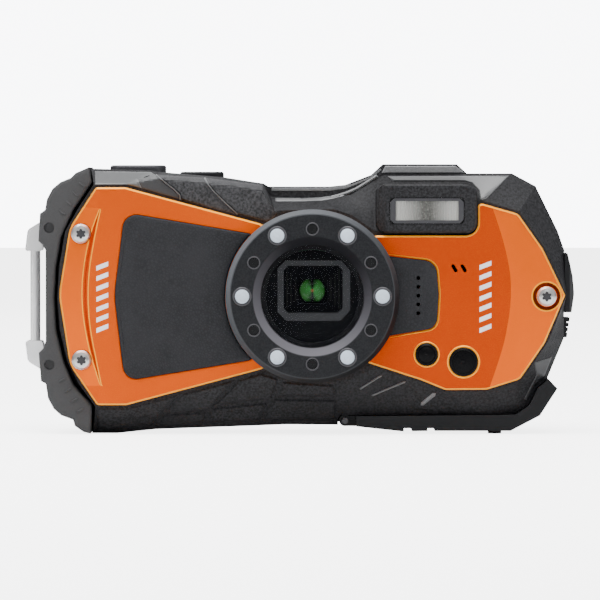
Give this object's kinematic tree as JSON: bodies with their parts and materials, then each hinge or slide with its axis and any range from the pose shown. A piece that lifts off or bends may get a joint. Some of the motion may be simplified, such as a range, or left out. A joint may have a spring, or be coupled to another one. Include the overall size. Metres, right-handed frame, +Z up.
{
  "type": "rugged compact camera",
  "caption": "Rugged waterproof compact camera with a hinged battery door, a hinged side cover, a strap bar, push keys and a folded zoom lens inside.",
  "frame": {"origin": "centre of the tripod socket's mouth in the camera's bottom, straight below the lens axis", "axes": "+Z up, the lens looks along -Y, +X towards the right as seen from the front"},
  "size_m": [0.1258, 0.03, 0.0616],
  "materials": {
    "orange_metal": "metallic paint",
    "shell_black": "coarse moulded grain",
    "bumper_grey": "smooth matte",
    "pad_leather": "fine leather grain",
    "ring_black": "satin",
    "black_gloss": "polished",
    "steel": "bright",
    "polished_steel": "polished",
    "clear_glass": "coated",
    "lens_glass": "coated green",
    "dark_glass": "glossy tinted",
    "frosted": "frosted",
    "reflector": "mirror",
    "silicone": "matte",
    "button_metal": "satin",
    "key_plastic": "satin",
    "inner_plastic": "matte",
    "board_green": "solder mask",
    "battery_wrap": "smooth",
    "card_blue": "smooth",
    "capacitor_sleeve": "sleeve"
  },
  "bodies": {
    "case": {"front_shell": "shell_black", "rear_shell": "shell_black", "shell_gasket": "silicone", "rear_screws": "steel", "face_plate": "orange_metal", "grip_pad": "pad_leather", "speaker_panel": "inner_plastic", "plate_screws": "steel", "assist_lamp_window": "dark_glass", "receiver_window": "dark_glass", "speaker_driver": "inner_plastic", "lens_ring": "ring_black", "ring_base": "inner_plastic", "led_windows": "frosted", "ring_screws": "steel", "lens_window": "clear_glass", "lens_mask": "black_gloss", "front_lens": "lens_glass", "optics_housing": "inner_plastic", "prism": "clear_glass", "guide_rods": "steel", "zoom_motor": "steel", "image_sensor": "board_green", "flash_housing": "shell_black", "flash_window": "clear_glass", "flash_reflector": "reflector", "flash_tube": "clear_glass", "flash_capacitor": "capacitor_sleeve", "side_bumper": "bumper_grey", "bumper_pins": "steel", "strap_lugs": "polished_steel", "strap_bar": "polished_steel", "shutter_spring": "steel", "lcd_window": "black_gloss", "lcd_panel": "dark_glass", "main_board": "board_green", "battery_bay": "inner_plastic", "battery": "battery_wrap", "memory_card": "card_blue", "hinge_pins": "steel", "tripod_socket": "steel"},
    "shutter": {"shutter_button": "button_metal"},
    "power": {"power_button": "button_metal"},
    "rocker": {"zoom_rocker": "key_plastic"},
    "playback": {"playback_button": "key_plastic"},
    "movie": {"movie_button": "key_plastic"},
    "ok": {"ok_button": "key_plastic"},
    "menu": {"menu_button": "key_plastic"},
    "key_up": {"nav_up": "key_plastic"},
    "key_down": {"nav_down": "key_plastic"},
    "key_left": {"nav_left": "key_plastic"},
    "key_right": {"nav_right": "key_plastic"},
    "door": {"battery_door": "shell_black", "door_gasket": "silicone"},
    "lock": {"door_lock": "bumper_grey"},
    "cover": {"terminal_cover": "shell_black"},
    "cover_lock": {"terminal_lock": "key_plastic"},
    "zoom_screw": {"lead_screw": "steel"},
    "zoom_group": {"zoom_lens_group": "inner_plastic"},
    "focus_group": {"focus_lens_group": "inner_plastic"}
  },
  "joints": [
    {"name": "shutter_press", "type": "slide", "parent": "case", "child": "shutter", "axis": [0, 0, -1], "range_m": [0, 0.0006], "deforming": ["shutter_spring"]},
    {"name": "power_press", "type": "slide", "parent": "case", "child": "power", "axis": [0, 0, -1], "range_m": [0, 0.0004]},
    {"name": "zoom_rock", "type": "hinge", "parent": "case", "child": "rocker", "pos_m": [-0.038, 0.00975, 0.0485], "axis": [0, 0, 1], "range_deg": [-4, 4]},
    {"name": "playback_press", "type": "slide", "parent": "case", "child": "playback", "axis": [0, -1, 0], "range_m": [0, 0.0005]},
    {"name": "movie_press", "type": "slide", "parent": "case", "child": "movie", "axis": [0, -1, 0], "range_m": [0, 0.0005]},
    {"name": "ok_press", "type": "slide", "parent": "case", "child": "ok", "axis": [0, -1, 0], "range_m": [0, 0.0005]},
    {"name": "menu_press", "type": "slide", "parent": "case", "child": "menu", "axis": [0, -1, 0], "range_m": [0, 0.0005]},
    {"name": "up_press", "type": "slide", "parent": "case", "child": "key_up", "axis": [0, -1, 0], "range_m": [0, 0.0005]},
    {"name": "down_press", "type": "slide", "parent": "case", "child": "key_down", "axis": [0, -1, 0], "range_m": [0, 0.0005]},
    {"name": "left_press", "type": "slide", "parent": "case", "child": "key_left", "axis": [0, -1, 0], "range_m": [0, 0.0005]},
    {"name": "right_press", "type": "slide", "parent": "case", "child": "key_right", "axis": [0, -1, 0], "range_m": [0, 0.0005]},
    {"name": "door_swing", "type": "hinge", "parent": "case", "child": "door", "pos_m": [0.0075, 0, 0.001], "axis": [0, 1, 0], "range_deg": [0, 90]},
    {"name": "lock_slide", "type": "slide", "parent": "door", "child": "lock", "axis": [-1, 0, 0], "range_m": [0, 0.0025]},
    {"name": "cover_swing", "type": "hinge", "parent": "case", "child": "cover", "pos_m": [0.0582, 0.007, 0.032], "axis": [0, 0, 1], "range_deg": [0, 95]},
    {"name": "cover_lock_slide", "type": "slide", "parent": "case", "child": "cover_lock", "axis": [0, 0, -1], "range_m": [0, 0.0012]},
    {"name": "zoom_move", "type": "slide", "parent": "case", "child": "zoom_group", "axis": [-1, 0, 0], "range_m": [0, 0.008]},
    {"name": "zoom_drive", "type": "hinge", "parent": "case", "child": "zoom_screw", "pos_m": [-0.02, -0.0046, 0.023], "axis": [1, 0, 0], "range_deg": [0, 2881]},
    {"name": "focus_move", "type": "slide", "parent": "case", "child": "focus_group", "axis": [-1, 0, 0], "range_m": [0, 0.003]}
  ],
  "couplings": [
    {"joint": "zoom_drive", "follows": "zoom_move", "rad_per_m": 6283.2}
  ]
}
